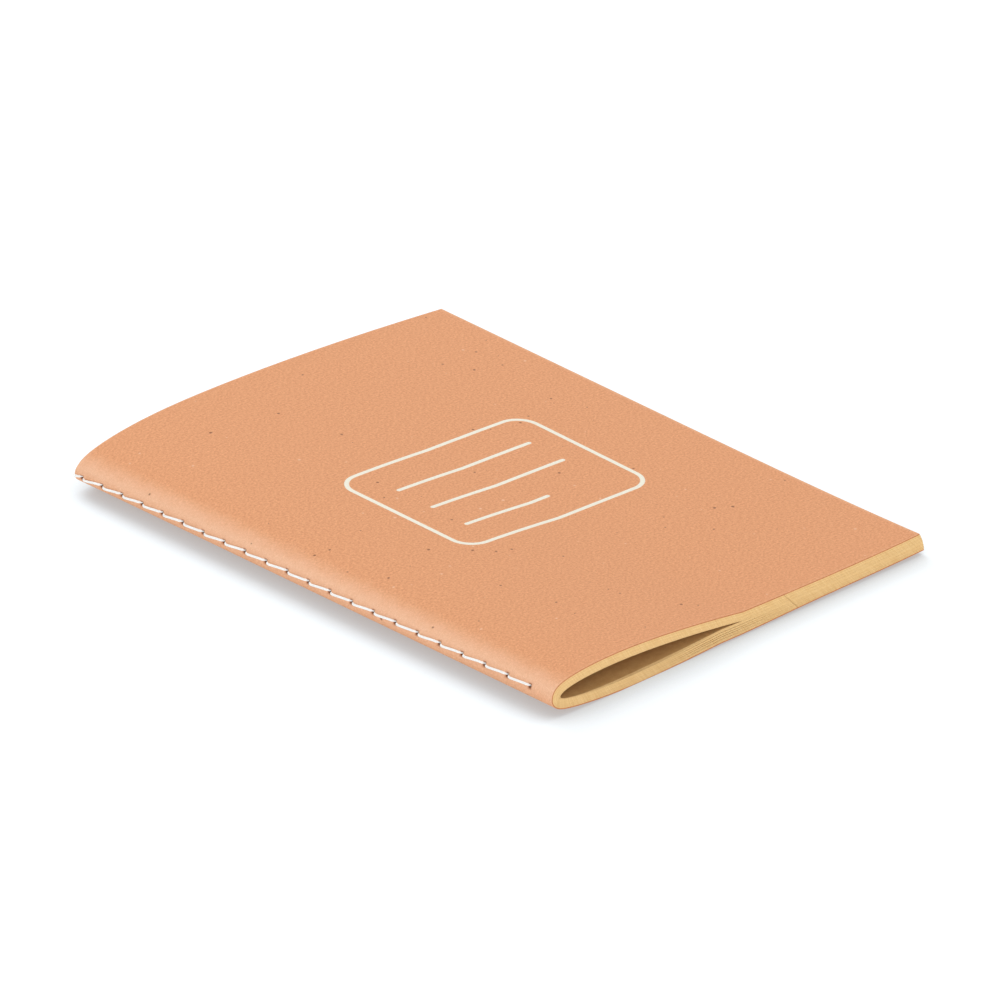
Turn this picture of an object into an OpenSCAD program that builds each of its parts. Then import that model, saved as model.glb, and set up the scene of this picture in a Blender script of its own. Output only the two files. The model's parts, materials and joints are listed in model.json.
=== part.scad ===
// Pocket notebook: one machine-sewn section of folded kraft sheets in a card cover.
// Frame: millimetres, +Z up, Y along the spine (head +Y, tail -Y), spine at -X, fore-edge at +X.
// The notebook lies closed on its back cover. Every leaf is a thin bent plate, and each
// sheet is drawn as a back leaf, a fold and a front leaf so that the two leaves can turn.
// A point on any layer is found from two numbers. w says where on the sheet it lies
// (w*w is the distance from the fold in mm), and r is how far out of the middle it lies.

/* [Sheets] */
// Distance from the fold axis to the fore-edge of the back cover, along the closed notebook
leaf_reach = 102.7; // [60:0.1:200]
// Height of the page along the spine
page_height = 148; // [90:0.5:297]
// Thickness of one page
paper = 0.084; // [0.05:0.001:0.2]
// Distance between one page and the next where they lie pressed together
page_pitch = 0.0945; // [0.06:0.0005:0.25]
// Thickness of the cover card
card = 0.25; // [0.15:0.01:0.6]
// How far the front cover's fore-edge sits behind the back cover's
creep = 1.32; // [0:0.01:4]

/* [Closed shape] */
// Height of the fold axis above the table
fold_height = 4.75; // [3:0.05:10]
// Bow of the front pages at the tail
front_bow_tail = 2.53; // [0.2:0.01:8]
// Bow of the front pages at the head
front_bow_head = 4.38; // [0.2:0.01:8]
// Distance from the fold at which the front bow ends at the tail
front_bow_reach_tail = 51.3; // [30:0.1:120]
// Distance from the fold at which the front bow ends at the head
front_bow_reach_head = 109.4; // [30:0.1:120]
// Bow of the back pages
back_bow = 1.7; // [0.2:0.01:8]
// Distance from the fold at which the back bow ends
back_bow_reach = 44; // [30:0.1:120]
// Lift of the front pages at the fore-edge corner of the head
corner_lift = 0.92; // [0:0.01:4]
// Extra looseness of the pages round the fold, as a share of the page distance
fold_loose = 0.12; // [0:0.01:0.5]
// Extra looseness of the front pages where they bow
front_loose = 0.11; // [0:0.01:0.5]
// Extra looseness of the back pages where they bow
back_loose = 0.25; // [0:0.01:0.5]
// Extra looseness of the back pages where the gap between the halves ends
cusp_loose = 0.56; // [0:0.01:1]

/* [Sewing] */
// Distance from the head edge to the first needle hole
first_hole = 2.15; // [1:0.05:20]
// Length of the first stitch
stitch = 6.3; // [2:0.05:12]
// Growth of each stitch over the one before it
stitch_growth = 0.032; // [0:0.001:0.1]
// Needle hole diameter
hole_d = 1.1; // [0.4:0.01:2]
// Thread diameter
thread_d = 0.45; // [0.1:0.01:1.5]
// Position of the first hole round the fold
hole_w_head = 0.02; // [0:0.001:0.4]
// Position of the last hole round the fold
hole_w_tail = 0.154; // [0:0.001:0.4]

/* [Colours] */
// Cover card
cover_color = "#e6a67d"; // [#e6a67d, #c98f63, #d9d2c5]
// Page edges
page_color = "#efca93"; // [#efca93, #f3ead6, #ffffff]
// Sewing thread
thread_color = "#f4f1ea"; // [#f4f1ea, #222222, #b33a2c]

/* [Hidden] */

sheets = 20;
holes = 22;
half = sheets * page_pitch + card;
slack = page_pitch - paper;
slope = atan((fold_height - half) / leaf_reach);
// Everything nearer to the fold axis than this turns with the spine.
core = 3.05;
thread_r = thread_d / 2;
reach_left = half + sheets * page_pitch * fold_loose + 0.03 + thread_d;
reach_right = leaf_reach * cos(slope) - half * sin(slope);
axis_x = (reach_left - reach_right) / 2;

// Places along a sheet, as w, from the middle of the fold to the fore-edge.
w_fold = [0, 0.12, 0.25, 0.42, 0.62, 0.8, 0.9, 1,
  1.1, 1.2, 1.3, 1.4, 1.5, 1.6, 1.7];
u_page = [3.6, 4.4, 5.4, 6.8, 8.6, 10.8, 13.4, 16.5, 20, 24,
  28.5, 33.5, 39, 45, 51, 58, 68, 82, 96];
w_all = concat(w_fold, [for (u = u_page) sqrt(u)]);

function mix(a, b, t) = a + (b - a) * t;
function bump(u, centre, width) = exp(-pow((u - centre) / width, 2)) * u / (u + 3);

// Bow of one half: height and its rate of change with w. The bow starts as a round fold.
function bow_rate(bow, reach) = bow / 0.3849 / sqrt(reach);
function bow_s(w, reach) = min(w * w / reach, 1);
function bow_h(w, bow, reach) = bow_rate(bow, reach) * w * (1 - bow_s(w, reach));
function bow_d(w, bow, reach) = w * w < reach
  ? bow_rate(bow, reach) * (1 - 3 * bow_s(w, reach))
  : 0;

function bow_of(side, t) = side > 0 ? mix(front_bow_tail, front_bow_head, t) : back_bow;
function reach_of(side, t) = side > 0
  ? mix(front_bow_reach_tail, front_bow_reach_head, t)
  : back_bow_reach;
function lift_of(side, t) = side > 0 ? corner_lift * t : 0;

// Height above the middle line and its rate of change, on one side at one end (t 0 tail, 1 head).
function h_of(w, side, t) = bow_h(w, bow_of(side, t), reach_of(side, t))
  + lift_of(side, t) * pow(w * w / leaf_reach, 2);
function d_of(w, side, t) = bow_d(w, bow_of(side, t), reach_of(side, t))
  + lift_of(side, t) * 4 * pow(w, 3) / pow(leaf_reach, 2);

// How loosely the pages lie, as a factor on the page distance.
function loose(u, side) = 1 + fold_loose * exp(-u / 4)
  + (side > 0
    ? front_loose * bump(u, 18, 18)
    : back_loose * bump(u, 18, 14) + cusp_loose * bump(u, 46, 20));

// Offset of a page's faces from the middle; sheet 1 is the outermost, sheet 20 the innermost.
function r_in(i, u, side) = ((sheets - i) * page_pitch + slack / 2) * loose(u, side);
function r_out(i, u, side) = r_in(i, u, side) + paper;
function c_in(u, side) = sheets * page_pitch * loose(u, side);
function c_out(u, side) = c_in(u, side) + card;
function face(i, outer, u, side) = i > 0
  ? (outer ? r_out(i, u, side) : r_in(i, u, side))
  : (outer ? c_out(u, side) : c_in(u, side));

// A point at w on one side, r out of the middle, relative to the fold axis (before the slope).
function local(w, r, side, t) = let (d = d_of(w, side, t), n = norm([2 * w, d]))
  [w * w - r * d / n, side * (h_of(w, side, t) + r * 2 * w / n)];
function placed(p) = [
  axis_x + p[0] * cos(slope) + p[1] * sin(slope),
  fold_height - p[0] * sin(slope) + p[1] * cos(slope)];
function on_table(p) = [p[0], max(p[1], 0)];

// Distance from the fold to the trimmed edge of one layer.
function mid_r(i) = i > 0 ? (sheets - i + 0.5) * page_pitch : sheets * page_pitch + card / 2;
function trim_at(i, side) = leaf_reach - creep * pow((half + side * mid_r(i)) / (2 * half), 2);

// First and last places of a layer outside and inside the part that turns with the spine.
function far(w, i, side, t) = min(
  norm(local(w, face(i, false, w * w, side), side, t)),
  norm(local(w, face(i, true, w * w, side), side, t)));
function near(w, i, side, t) = max(
  norm(local(w, face(i, false, w * w, side), side, t)),
  norm(local(w, face(i, true, w * w, side), side, t)));
function leaf_w(i, side) = concat(
  [for (w = w_all) if (min(far(w, i, side, 0), far(w, i, side, 1)) > core + 0.04) w],
  [sqrt(trim_at(i, side))]);
function fold_w(i, side) = [for (w = w_fold) if (near(w, i, side, 0) < core - 0.01) w];

function layer_points(i, outer, ws, side, t) = [for (w = ws)
  on_table(placed(local(w, face(i, outer, w * w, side), side, t)))];

// A bent plate between its outline at the tail and its outline at the head.
module plate(i, side) {
  ws = leaf_w(i, side);
  n = len(ws);
  tail_out = layer_points(i, true, ws, side, 0);
  tail_in = layer_points(i, false, ws, side, 0);
  head_out = layer_points(i, true, ws, side, 1);
  head_in = layer_points(i, false, ws, side, 1);
  y = page_height / 2;
  points = concat(
    [for (p = tail_out) [p[0], -y, p[1]]],
    [for (p = tail_in) [p[0], -y, p[1]]],
    [for (p = head_out) [p[0], y, p[1]]],
    [for (p = head_in) [p[0], y, p[1]]]);
  a = 0;
  b = n;
  c = 2 * n;
  d = 3 * n;
  faces = concat(
    [for (k = [0 : n - 2]) [a + k, a + k + 1, c + k + 1]],
    [for (k = [0 : n - 2]) [a + k, c + k + 1, c + k]],
    [for (k = [0 : n - 2]) [b + k, d + k + 1, b + k + 1]],
    [for (k = [0 : n - 2]) [b + k, d + k, d + k + 1]],
    [for (k = [0 : n - 2]) [a + k, b + k + 1, a + k + 1]],
    [for (k = [0 : n - 2]) [a + k, b + k, b + k + 1]],
    [for (k = [0 : n - 2]) [c + k, c + k + 1, d + k + 1]],
    [for (k = [0 : n - 2]) [c + k, d + k + 1, d + k]],
    [[a, c, d], [a, d, b]],
    [[a + n - 1, b + n - 1, d + n - 1], [a + n - 1, d + n - 1, c + n - 1]]);
  polyhedron(
    points = points,
    faces = side > 0 ? [for (f = faces) [f[0], f[2], f[1]]] : faces,
    convexity = 8);
}

// One layer's fold: a strip bent round the fold axis, the same all along the spine.
module fold_strip(i) {
  up = fold_w(i, 1);
  down = fold_w(i, -1);
  loop = concat(
    [for (k = [len(up) - 1 : -1 : 0]) placed(local(up[k], face(i, true, pow(up[k], 2), 1), 1, 0))],
    [for (k = [1 : len(down) - 1]) placed(local(down[k], face(i, true, pow(down[k], 2), -1), -1, 0))],
    [for (k = [len(down) - 1 : -1 : 1]) placed(local(down[k], face(i, false, pow(down[k], 2), -1), -1, 0))],
    [for (k = [0 : len(up) - 1]) placed(local(up[k], face(i, false, pow(up[k], 2), 1), 1, 0))]);
  rotate([90, 0, 0])
    linear_extrude(height = page_height, center = true)
      polygon(loop);
}

// Needle holes: place along the spine, place round the fold, and the outward direction there.
function hole_y(k) = page_height / 2 - first_hole - stitch * k - stitch_growth * k * (k - 1) / 2;
function hole_w(k) = mix(hole_w_head, hole_w_tail, min(max(k / (holes - 1), 0), 1));
function tangent(k) = let (w = hole_w(k), v = [2 * w, d_of(w, 1, 0)]) v / norm(v);
function turned(v) = [v[0] * cos(slope) + v[1] * sin(slope), -v[0] * sin(slope) + v[1] * cos(slope)];
function along(k) = turned(tangent(k));
function outward(k) = turned([-tangent(k)[1], tangent(k)[0]]);
function root(k) = let (w = hole_w(k)) placed([w * w, h_of(w, 1, 0)]);

module needle_holes() {
  for (k = [0 : holes - 1]) {
    o = outward(k);
    p = root(k);
    translate([p[0], hole_y(k), p[1]])
      rotate([0, 90 - atan2(o[1], o[0]), 0])
        translate([0, 0, -0.25])
          cylinder(h = 4, d = hole_d, $fn = 24);
  }
}

// A thread is a round bar bent along a path of [hole number, height out, sideways, along Y].
function thread_point(q) = let (p = root(q[0]), o = outward(q[0]), a = along(q[0]))
  [p[0] + q[1] * o[0] + q[2] * a[0], q[3], p[1] + q[1] * o[1] + q[2] * a[1]];
function unit(v) = v / norm(v);

module thread(path) {
  m = len(path);
  sides = 8;
  centre = [for (q = path) thread_point(q)];
  points = [for (k = [0 : m - 1])
    let (
      t = unit(centre[min(k + 1, m - 1)] - centre[max(k - 1, 0)]),
      s = along(path[k][0]),
      g = [s[0], 0, s[1]],
      e = unit(g - (g * t) * t),
      f = cross(t, e))
    for (j = [0 : sides - 1])
      centre[k] + thread_r * (cos(45 * j) * e + sin(45 * j) * f)];
  faces = concat(
    [[for (j = [0 : sides - 1]) j]],
    [for (k = [0 : m - 2]) for (j = [0 : sides - 1])
      let (a = k * sides + j, b = k * sides + (j + 1) % sides)
      [b, a, a + sides]],
    [for (k = [0 : m - 2]) for (j = [0 : sides - 1])
      let (a = k * sides + j, b = k * sides + (j + 1) % sides)
      [b, a + sides, b + sides]],
    [[for (j = [sides - 1 : -1 : 0]) (m - 1) * sides + j]]);
  polyhedron(points = points, faces = faces, convexity = 20);
}

// Heights of the two threads: on the cover, on the innermost page, and at the turn inside a hole.
surface = c_out(0, 1);
on_cover = surface + 0.03 + thread_r;
on_page = -0.45;
needle_turn = 1.25;
bobbin_turn = needle_turn - thread_d - 0.03;

// The two bends of a thread at a hole, going in (way 1) and coming out (way -1).
function dip(k, way, out, mouth, deep) = [
  [k, out, way * 0.16, hole_y(k) + way * 0.85],
  [k, out, way * 0.15, hole_y(k) + way * 0.46],
  [k, mix(out, mouth, 0.45), way * 0.13, hole_y(k) + way * 0.3],
  [k, mouth, way * 0.12, hole_y(k) + way * 0.25],
  [k, deep, way * 0.1, hole_y(k) + way * 0.24]];
function backwards(v) = [for (k = [len(v) - 1 : -1 : 0]) v[k]];

module front_cover() {
  color(cover_color) plate(0, 1);
}

module back_cover() {
  color(cover_color) plate(0, -1);
}

module cover_spine() {
  color(cover_color) difference() {
    fold_strip(0);
    needle_holes();
  }
}

module sheet_folds() {
  color(page_color) for (i = [1 : sheets]) {
    difference() {
      fold_strip(i);
      needle_holes();
    }
  }
}

module needle_thread() {
  mouth = surface - 0.2;
  deep = needle_turn + 0.2;
  color(thread_color) thread(concat(
    [[0, on_cover, 0.05, page_height / 2 - 0.05]],
    [for (k = [0 : holes - 1]) each concat(
      dip(k, 1, on_cover, mouth, deep),
      [[k, needle_turn, 0, hole_y(k)]],
      k < holes - 1 ? backwards(dip(k, -1, on_cover, mouth, deep)) : [])]));
}

module bobbin_thread() {
  mouth = 0.1;
  deep = bobbin_turn - 0.2;
  color(thread_color) thread(concat(
    [[0, on_page, 0, page_height / 2 - 0.05]],
    [for (k = [0 : holes - 1]) each concat(
      dip(k, 1, on_page, mouth, deep),
      [[k, bobbin_turn, 0, hole_y(k)]],
      k < holes - 1 ? backwards(dip(k, -1, on_page, mouth, deep)) : [])]));
}

module front_leaf_01() {
  color(page_color) plate(1, 1);
}

module front_leaf_02() {
  color(page_color) plate(2, 1);
}

module front_leaf_03() {
  color(page_color) plate(3, 1);
}

module front_leaf_04() {
  color(page_color) plate(4, 1);
}

module front_leaf_05() {
  color(page_color) plate(5, 1);
}

module front_leaf_06() {
  color(page_color) plate(6, 1);
}

module front_leaf_07() {
  color(page_color) plate(7, 1);
}

module front_leaf_08() {
  color(page_color) plate(8, 1);
}

module front_leaf_09() {
  color(page_color) plate(9, 1);
}

module front_leaf_10() {
  color(page_color) plate(10, 1);
}

module front_leaf_11() {
  color(page_color) plate(11, 1);
}

module front_leaf_12() {
  color(page_color) plate(12, 1);
}

module front_leaf_13() {
  color(page_color) plate(13, 1);
}

module front_leaf_14() {
  color(page_color) plate(14, 1);
}

module front_leaf_15() {
  color(page_color) plate(15, 1);
}

module front_leaf_16() {
  color(page_color) plate(16, 1);
}

module front_leaf_17() {
  color(page_color) plate(17, 1);
}

module front_leaf_18() {
  color(page_color) plate(18, 1);
}

module front_leaf_19() {
  color(page_color) plate(19, 1);
}

module front_leaf_20() {
  color(page_color) plate(20, 1);
}

module back_leaf_01() {
  color(page_color) plate(1, -1);
}

module back_leaf_02() {
  color(page_color) plate(2, -1);
}

module back_leaf_03() {
  color(page_color) plate(3, -1);
}

module back_leaf_04() {
  color(page_color) plate(4, -1);
}

module back_leaf_05() {
  color(page_color) plate(5, -1);
}

module back_leaf_06() {
  color(page_color) plate(6, -1);
}

module back_leaf_07() {
  color(page_color) plate(7, -1);
}

module back_leaf_08() {
  color(page_color) plate(8, -1);
}

module back_leaf_09() {
  color(page_color) plate(9, -1);
}

module back_leaf_10() {
  color(page_color) plate(10, -1);
}

module back_leaf_11() {
  color(page_color) plate(11, -1);
}

module back_leaf_12() {
  color(page_color) plate(12, -1);
}

module back_leaf_13() {
  color(page_color) plate(13, -1);
}

module back_leaf_14() {
  color(page_color) plate(14, -1);
}

module back_leaf_15() {
  color(page_color) plate(15, -1);
}

module back_leaf_16() {
  color(page_color) plate(16, -1);
}

module back_leaf_17() {
  color(page_color) plate(17, -1);
}

module back_leaf_18() {
  color(page_color) plate(18, -1);
}

module back_leaf_19() {
  color(page_color) plate(19, -1);
}

module back_leaf_20() {
  color(page_color) plate(20, -1);
}

front_cover();
cover_spine();
back_cover();
sheet_folds();
needle_thread();
bobbin_thread();
front_leaf_01();
front_leaf_02();
front_leaf_03();
front_leaf_04();
front_leaf_05();
front_leaf_06();
front_leaf_07();
front_leaf_08();
front_leaf_09();
front_leaf_10();
front_leaf_11();
front_leaf_12();
front_leaf_13();
front_leaf_14();
front_leaf_15();
front_leaf_16();
front_leaf_17();
front_leaf_18();
front_leaf_19();
front_leaf_20();
back_leaf_01();
back_leaf_02();
back_leaf_03();
back_leaf_04();
back_leaf_05();
back_leaf_06();
back_leaf_07();
back_leaf_08();
back_leaf_09();
back_leaf_10();
back_leaf_11();
back_leaf_12();
back_leaf_13();
back_leaf_14();
back_leaf_15();
back_leaf_16();
back_leaf_17();
back_leaf_18();
back_leaf_19();
back_leaf_20();
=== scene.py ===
# %% [markdown]
# # A pocket notebook: twenty folded sheets of kraft paper in a card cover
# The real object is one pile of sheets, folded once and sewn through the fold on a machine.
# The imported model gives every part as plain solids. Here each real piece is built again as
# one continuous skin: the cover is one card bent round the fold, and each sheet is one paper.

import bpy
import json
import math
import random
import numpy as np
from mathutils import Matrix, Vector


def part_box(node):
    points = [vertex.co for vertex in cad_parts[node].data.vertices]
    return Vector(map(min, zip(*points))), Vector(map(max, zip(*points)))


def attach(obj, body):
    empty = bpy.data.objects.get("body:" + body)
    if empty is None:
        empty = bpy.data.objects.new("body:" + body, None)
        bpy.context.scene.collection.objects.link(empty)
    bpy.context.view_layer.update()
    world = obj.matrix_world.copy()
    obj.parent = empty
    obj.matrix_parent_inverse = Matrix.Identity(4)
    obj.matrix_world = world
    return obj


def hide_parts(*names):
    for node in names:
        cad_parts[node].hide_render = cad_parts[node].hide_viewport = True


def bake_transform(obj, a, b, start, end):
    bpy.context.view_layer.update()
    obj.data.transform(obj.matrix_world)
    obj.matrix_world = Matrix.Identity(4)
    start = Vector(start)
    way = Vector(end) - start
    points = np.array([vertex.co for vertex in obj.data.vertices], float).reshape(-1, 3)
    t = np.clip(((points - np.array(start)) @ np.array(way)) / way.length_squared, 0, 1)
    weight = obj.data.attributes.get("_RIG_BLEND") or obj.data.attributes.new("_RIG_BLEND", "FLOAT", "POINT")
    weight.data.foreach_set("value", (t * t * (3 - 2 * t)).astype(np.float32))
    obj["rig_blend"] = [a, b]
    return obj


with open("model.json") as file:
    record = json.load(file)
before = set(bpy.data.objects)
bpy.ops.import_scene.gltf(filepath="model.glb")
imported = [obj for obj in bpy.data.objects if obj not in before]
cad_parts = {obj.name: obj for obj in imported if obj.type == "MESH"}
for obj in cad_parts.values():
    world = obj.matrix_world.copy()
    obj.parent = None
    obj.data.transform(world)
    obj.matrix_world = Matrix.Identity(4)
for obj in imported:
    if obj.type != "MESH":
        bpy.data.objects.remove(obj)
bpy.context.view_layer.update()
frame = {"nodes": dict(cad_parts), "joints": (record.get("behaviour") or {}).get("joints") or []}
MM = 0.001
scene = bpy.context.scene

# %% [markdown]
# ## The camera
# A long lens from four metres away keeps the notebook's edges almost parallel, as in a
# catalogue view. The camera could be aimed with a Track To constraint, but a matrix made
# from three directions also holds the slight roll, and nothing is left to be evaluated.

# %% Camera
opening = next(joint for joint in frame["joints"] if joint["name"] == "front_cover_opening")
AXIS_X, AXIS_Z = opening["pos_m"][0] / MM, opening["pos_m"][2] / MM   # the fold axis, in mm
AIM_X, AIM_Y, CAMERA_DISTANCE = 57.6183, 7.5323, 4.0   # mm in front of the axis, mm, m
turn, height, roll = math.radians(48.4111), math.radians(26.9413), math.radians(-1.8291)
away = Vector((-math.cos(turn) * math.cos(height), -math.sin(turn) * math.cos(height), math.sin(height)))
level = Vector((math.sin(turn), -math.cos(turn), 0))
rise = away.cross(level)
across = math.cos(roll) * level + math.sin(roll) * rise
upward = math.cos(roll) * rise - math.sin(roll) * level
place = Vector(((AXIS_X + AIM_X) * MM, AIM_Y * MM, 0)) + CAMERA_DISTANCE * away
camera = bpy.data.objects.new("camera", bpy.data.cameras.new("camera"))
camera.matrix_world = Matrix([[across[i], upward[i], away[i], place[i]] for i in range(3)] + [[0, 0, 0, 1]])
camera.data.sensor_width = 36
camera.data.lens = 687.69
camera.data.clip_end = 60
scene.collection.objects.link(camera)
scene.camera = camera
print("camera stands at", [round(v, 2) for v in place], "m")

# %% [markdown]
# ## The room
# A white table under a white sky gives the soft, nearly shadowless light of a product shot.
# A wide lamp behind lays a soft shadow on the near sides, and a wide lamp in front lifts the
# cut edges, as two softboxes would. The table glows, like an acrylic shooting table lit from
# below, which keeps it pure white. An Ambient Occlusion node dims the glow within 12 mm of
# the notebook, which paints a soft shadow round its foot, and the table is a trace cool, which
# cancels the warm light that the card throws on it. The Standard view keeps colours as set.

# %% Floor, sky and lamps
def srgb(r, g, b):
    """A colour given as 0 to 255 screen values, as Blender's linear colour."""
    parts = [v / 255 for v in (r, g, b)]
    return tuple(v / 12.92 if v <= 0.04045 else ((v + 0.055) / 1.055) ** 2.4 for v in parts) + (1.0,)


scene.view_settings.view_transform = "Standard"
scene.view_settings.look = "None"
sky = bpy.data.worlds.new("white_sky")
sky.use_nodes = True
sky.node_tree.nodes["Background"].inputs["Color"].default_value = (1, 1, 1, 1)
SKY_STRENGTH = 0.70
sky.node_tree.nodes["Background"].inputs["Strength"].default_value = SKY_STRENGTH
scene.world = sky

FLOOR_HALF, FLOOR_DROP = 30, 0.00005   # m; the small drop keeps it off the back cover
floor_mesh = bpy.data.meshes.new("floor")
floor_mesh.from_pydata([(x * FLOOR_HALF, y * FLOOR_HALF, 0) for x, y in ((-1, -1), (1, -1), (1, 1), (-1, 1))],
                       [], [(0, 1, 2, 3)])
floor = bpy.data.objects.new("floor", floor_mesh)
floor.location.z = -FLOOR_DROP
scene.collection.objects.link(floor)
white = bpy.data.materials.new("white_table")
white.use_nodes = True
table = white.node_tree.nodes["Principled BSDF"].inputs
table["Base Color"].default_value = (0.33, 0.38, 0.42, 1)
table["Roughness"].default_value = 0.9
table["Specular IOR Level"].default_value = 0.0
table["Emission Strength"].default_value = 0.72
# Painted shadow: ambient occlusion dims the table's glow close to the notebook.
painted_shadow_ao = white.node_tree.nodes.new("ShaderNodeAmbientOcclusion")
painted_shadow_ao.samples = 8
painted_shadow_ao.inputs["Distance"].default_value = 0.012
painted_shadow_ramp = white.node_tree.nodes.new("ShaderNodeMapRange")
for label, value in (("From Min", 0.40), ("From Max", 0.92), ("To Min", 0.47), ("To Max", 1.0)):
    painted_shadow_ramp.inputs[label].default_value = value
white.node_tree.links.new(painted_shadow_ao.outputs["AO"], painted_shadow_ramp.inputs["Value"])
white.node_tree.links.new(painted_shadow_ramp.outputs["Result"], table["Emission Color"])
floor.data.materials.append(white)


def softbox(name, location, size, watts):
    """A round area lamp that faces the notebook."""
    lamp = bpy.data.objects.new(name, bpy.data.lights.new(name, "AREA"))
    lamp.data.shape = "DISK"
    lamp.data.size = size
    lamp.data.energy = watts
    lamp.location = location
    lamp.rotation_euler = Vector(location).to_track_quat("Z", "Y").to_euler()
    scene.collection.objects.link(lamp)
    return lamp


back_lamp = softbox("back_softbox", (0.38, 1.44, 1.15), 1.2, 17.0)
front_lamp = softbox("front_softbox", (-1.39, -1.56, 0.68), 1.4, 16.5)
print("sky strength", SKY_STRENGTH, "softboxes", back_lamp.data.energy, "and", front_lamp.data.energy, "W")

# %% [markdown]
# ## Small helpers for node trees
# Shader nodes can be wired one line at a time, but the same three steps come again and
# again: add the node, set its choices, then fill or link its inputs. One helper does all
# three, so the materials below read like a list of what they are made of.

# %% Node helpers
def add(tree, kind, inputs=None, **choices):
    """Adds a node; inputs maps a socket's name or number to a value or to another socket."""
    made = tree.nodes.new(kind)
    for name, value in choices.items():
        setattr(made, name, value)
    for name, value in (inputs or {}).items():
        if isinstance(value, bpy.types.NodeSocket):
            tree.links.new(value, made.inputs[name])
        else:
            made.inputs[name].default_value = value
    return made


def maths(tree, operation, a, b=0.0, c=0.0, clamp=False):
    return add(tree, "ShaderNodeMath", {0: a, 1: b, 2: c}, operation=operation, use_clamp=clamp).outputs[0]


def smooth(tree, value, low, high):
    """0 below low, 1 above high, and an even curve between them."""
    step = add(tree, "ShaderNodeMapRange", {"Value": value, "From Min": low, "From Max": high},
               interpolation_type="SMOOTHSTEP")
    return step.outputs["Result"]


def blend_colours(tree, share, a, b, kind="MIX"):
    mix_node = add(tree, "ShaderNodeMix", data_type="RGBA", blend_type=kind)
    for socket, value in ((mix_node.inputs[0], share), (mix_node.inputs[6], a), (mix_node.inputs[7], b)):
        if isinstance(value, bpy.types.NodeSocket):
            tree.links.new(value, socket)
        else:
            socket.default_value = value
    return mix_node.outputs[2]


def new_group(name, inputs, outputs):
    """A shader node group with its named sockets; returns the tree, its inputs and its output node."""
    tree = bpy.data.node_groups.new(name, "ShaderNodeTree")
    for label, kind, value in inputs:
        socket = tree.interface.new_socket(label, in_out="INPUT", socket_type="NodeSocket" + kind)
        if value is not None:
            socket.default_value = value
    for label in outputs:
        tree.interface.new_socket(label, in_out="OUTPUT", socket_type="NodeSocketFloat")
    return tree, tree.nodes.new("NodeGroupInput").outputs, tree.nodes.new("NodeGroupOutput").inputs


print("helpers ready")

# %% [markdown]
# ## Kraft fibres
# Kraft board and paper are pressed from unbleached wood pulp: cloudy where the pulp settled,
# streaked with short fibres, and dotted with a few dark bark specks and a few pale shives.
# Painting this as an image would fix its size, so it is a node group worked out in
# millimetres, and each paper gives it its own cloud size, fibre size and share of specks.

# %% Node group for kraft fibres
fibres, given, made = new_group(
    "kraft_fibres",
    [("Place", "Vector", None), ("Cloud Scale", "Float", 0.4), ("Fibre Scale", "Float", 2.5),
     ("Speck Scale", "Float", 0.16), ("Speck Size", "Float", 0.03)],
    ["Cloud", "Fibre", "Dark Speck", "Pale Speck"])
cloud = add(fibres, "ShaderNodeTexNoise",
            {"Vector": given["Place"], "Scale": given["Cloud Scale"], "Detail": 5.0, "Roughness": 0.68})
fibres.links.new(smooth(fibres, cloud.outputs["Fac"], 0.3, 0.7), made["Cloud"])
strands = add(fibres, "ShaderNodeTexNoise",
              {"Vector": given["Place"], "Scale": given["Fibre Scale"], "Detail": 3.0, "Roughness": 0.6,
               "Distortion": 1.6})
ridge = maths(fibres, "ABSOLUTE", maths(fibres, "SUBTRACT", strands.outputs["Fac"], 0.5))
fibres.links.new(smooth(fibres, ridge, 0.16, 0.0), made["Fibre"])
for label, shift in (("Dark Speck", 0.0), ("Pale Speck", 61.7)):
    moved = add(fibres, "ShaderNodeVectorMath", {0: given["Place"], 1: (shift, shift * 0.7, 0)}, operation="ADD")
    cells = add(fibres, "ShaderNodeTexVoronoi", {"Vector": moved.outputs[0], "Scale": given["Speck Scale"]})
    chance = add(fibres, "ShaderNodeSeparateColor", {"Color": cells.outputs["Color"]})
    size = maths(fibres, "MULTIPLY", maths(fibres, "POWER", chance.outputs[0], 2.2), given["Speck Size"])
    edge = maths(fibres, "DIVIDE", cells.outputs["Distance"], maths(fibres, "ADD", size, 0.002))
    fibres.links.new(smooth(fibres, edge, 1.0, 0.45), made[label])
print("kraft_fibres:", [s.name for s in fibres.interface.items_tree])

# %% [markdown]
# ## Cut stripes
# A guillotine shears the whole pile in one slanting stroke. The blade's tiny nicks leave
# fine lines that lean across every sheet, and each sheet takes a slightly different tone.
# Noise stretched along one axis gives both, for the paper's cut edge and for the card's, and
# Lean says how far a line moves along the edge for each millimetre of the pile.

# %% Node group for cut stripes
stripes, given, made = new_group(
    "cut_stripes",
    [("Place", "Vector", None), ("Lean", "Float", 0.95), ("Stripe Scale", "Float", 2.0),
     ("Layer Scale", "Float", 10.0)],
    ["Stripe", "Layer"])
flat = add(stripes, "ShaderNodeSeparateXYZ", {0: given["Place"]})
leaning = maths(stripes, "MULTIPLY_ADD", flat.outputs[1], given["Lean"], flat.outputs[0])
across_pile = add(stripes, "ShaderNodeCombineXYZ", {0: leaning, 1: maths(stripes, "MULTIPLY", flat.outputs[1], 0.07)})
nicks = add(stripes, "ShaderNodeTexNoise",
            {"Vector": across_pile.outputs[0], "Scale": given["Stripe Scale"], "Detail": 4.0, "Roughness": 0.75})
stripes.links.new(smooth(stripes, nicks.outputs["Fac"], 0.3, 0.7), made["Stripe"])
along_pile = add(stripes, "ShaderNodeVectorMath", {0: given["Place"], 1: (0.012, 1.0, 1.0)}, operation="MULTIPLY")
tones = add(stripes, "ShaderNodeTexNoise",
            {"Vector": along_pile.outputs[0], "Scale": given["Layer Scale"], "Detail": 2.0, "Roughness": 0.6})
stripes.links.new(smooth(stripes, tones.outputs["Fac"], 0.3, 0.7), made["Layer"])
print("cut_stripes:", [s.name for s in stripes.interface.items_tree])

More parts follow.
